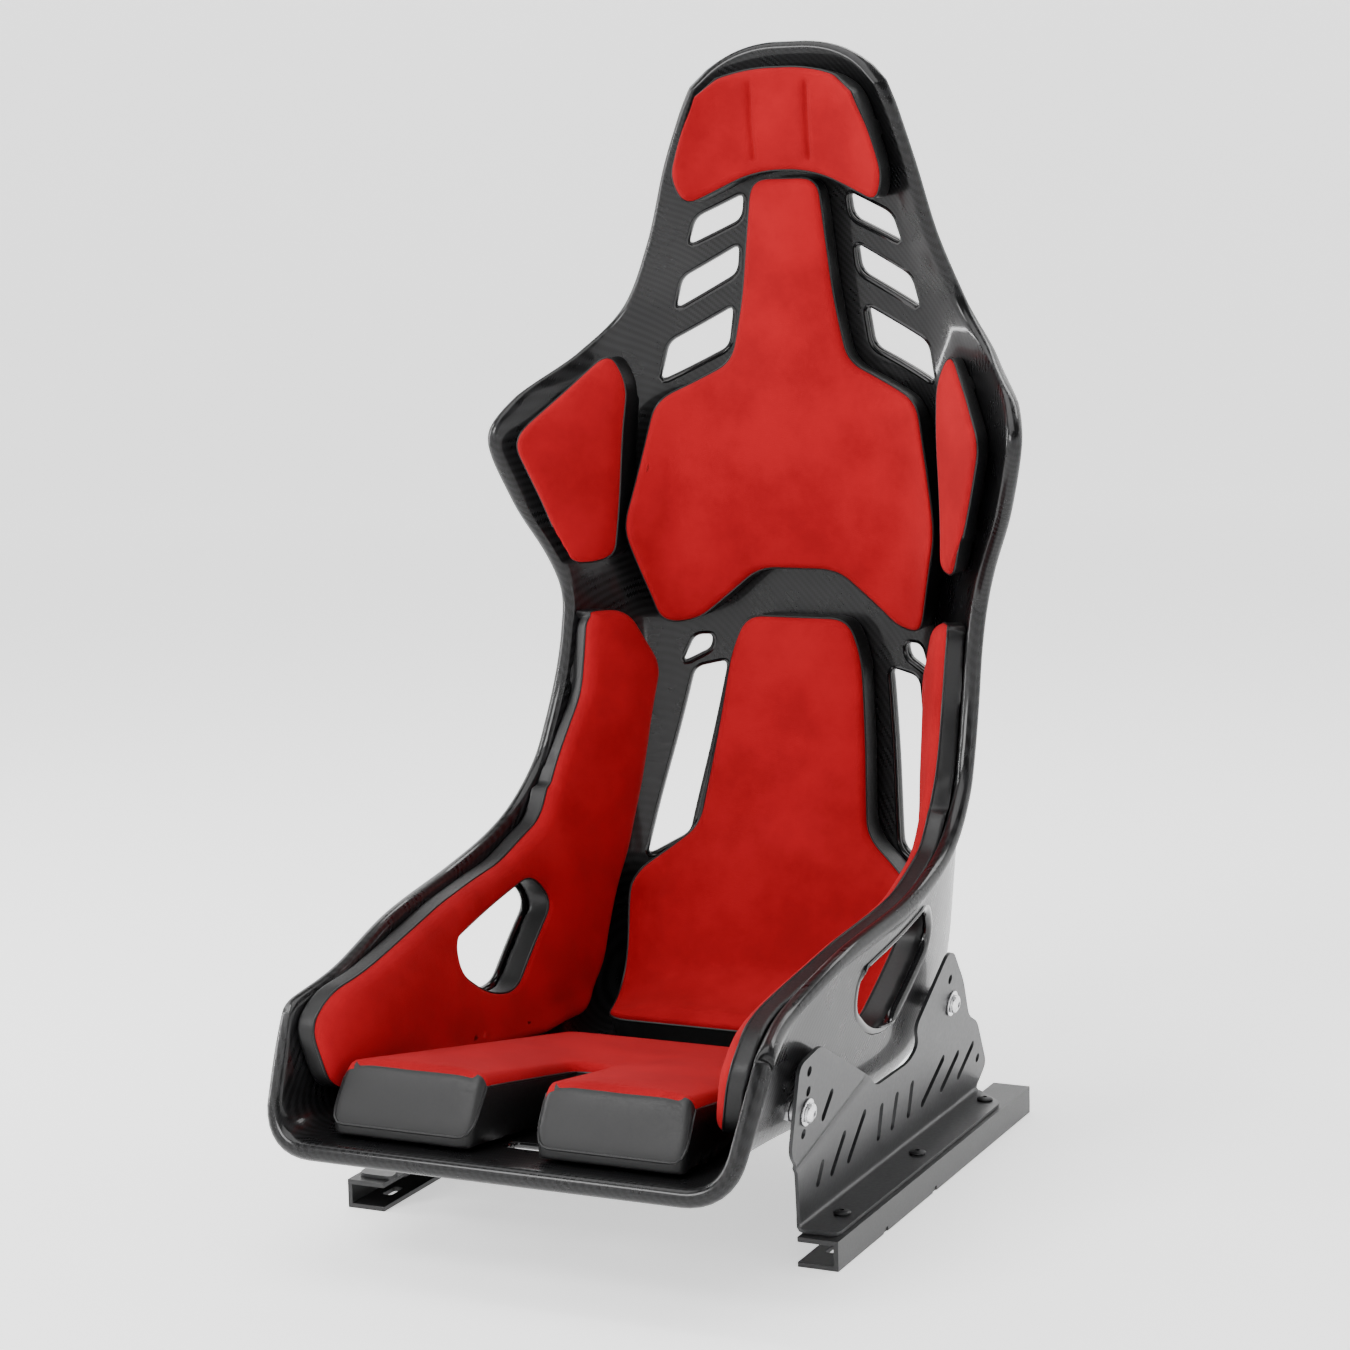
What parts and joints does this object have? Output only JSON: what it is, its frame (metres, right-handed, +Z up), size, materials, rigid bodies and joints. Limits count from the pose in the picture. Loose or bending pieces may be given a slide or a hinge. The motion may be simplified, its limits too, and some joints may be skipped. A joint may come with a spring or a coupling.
{
  "type": "racing seat",
  "caption": "Side-mounted bucket seat: gloss composite shell with wings and belt openings, red suede pads, steel side plates on open floor rails",
  "frame": {"origin": "on the floor, under the middle of the seat's overall box", "axes": "+Z up; the seat faces -Y; X is across the seat, +X at the sitter's left. Left and right in the names are as seen from the front, so right is +X"},
  "size_m": [0.509, 0.6458, 0.9496],
  "materials": {
    "carbon_shell": "clear-coated twill carbon laminate, near black",
    "red_suede": "short-nap microsuede over foam",
    "black_leather": "fine-grained leatherette with stitched edges",
    "plate_steel": "dark grey satin powder coat",
    "rail_steel": "black satin powder coat",
    "zinc_steel": "bright zinc plate",
    "black_steel": "black oxide",
    "spacer_alloy": "machined"
  },
  "bodies": {
    "root": {"bolster_pad_left": "red_suede", "bolster_pad_right": "red_suede", "floor_rail_left": "rail_steel", "floor_rail_right": "rail_steel", "head_pad": "red_suede", "lumbar_pad": "red_suede", "mount_bolt_front_left": "zinc_steel", "mount_bolt_front_right": "zinc_steel", "mount_bolt_rear_left": "zinc_steel", "mount_bolt_rear_right": "zinc_steel", "mount_spacer_front_left": "spacer_alloy", "mount_spacer_front_right": "spacer_alloy", "mount_spacer_rear_left": "spacer_alloy", "mount_spacer_rear_right": "spacer_alloy", "mount_washer_front_left": "zinc_steel", "mount_washer_front_right": "zinc_steel", "mount_washer_rear_left": "zinc_steel", "mount_washer_rear_right": "zinc_steel", "rail_bolt_front_left": "black_steel", "rail_bolt_front_right": "black_steel", "rail_bolt_middle_left": "black_steel", "rail_bolt_middle_right": "black_steel", "rail_bolt_rear_left": "black_steel", "rail_bolt_rear_right": "black_steel", "rail_nut_front_left": "black_steel", "rail_nut_front_right": "black_steel", "rail_nut_middle_left": "black_steel", "rail_nut_middle_right": "black_steel", "rail_nut_rear_left": "black_steel", "rail_nut_rear_right": "black_steel", "seat_cushion": "red_suede", "seat_shell": "carbon_shell", "shell_insert_front_left": "spacer_alloy", "shell_insert_front_right": "spacer_alloy", "shell_insert_rear_left": "spacer_alloy", "shell_insert_rear_right": "spacer_alloy", "shoulder_pad": "red_suede", "side_plate_left": "plate_steel", "side_plate_right": "plate_steel", "wing_pad_left": "red_suede", "wing_pad_right": "red_suede"}
  },
  "joints": []
}
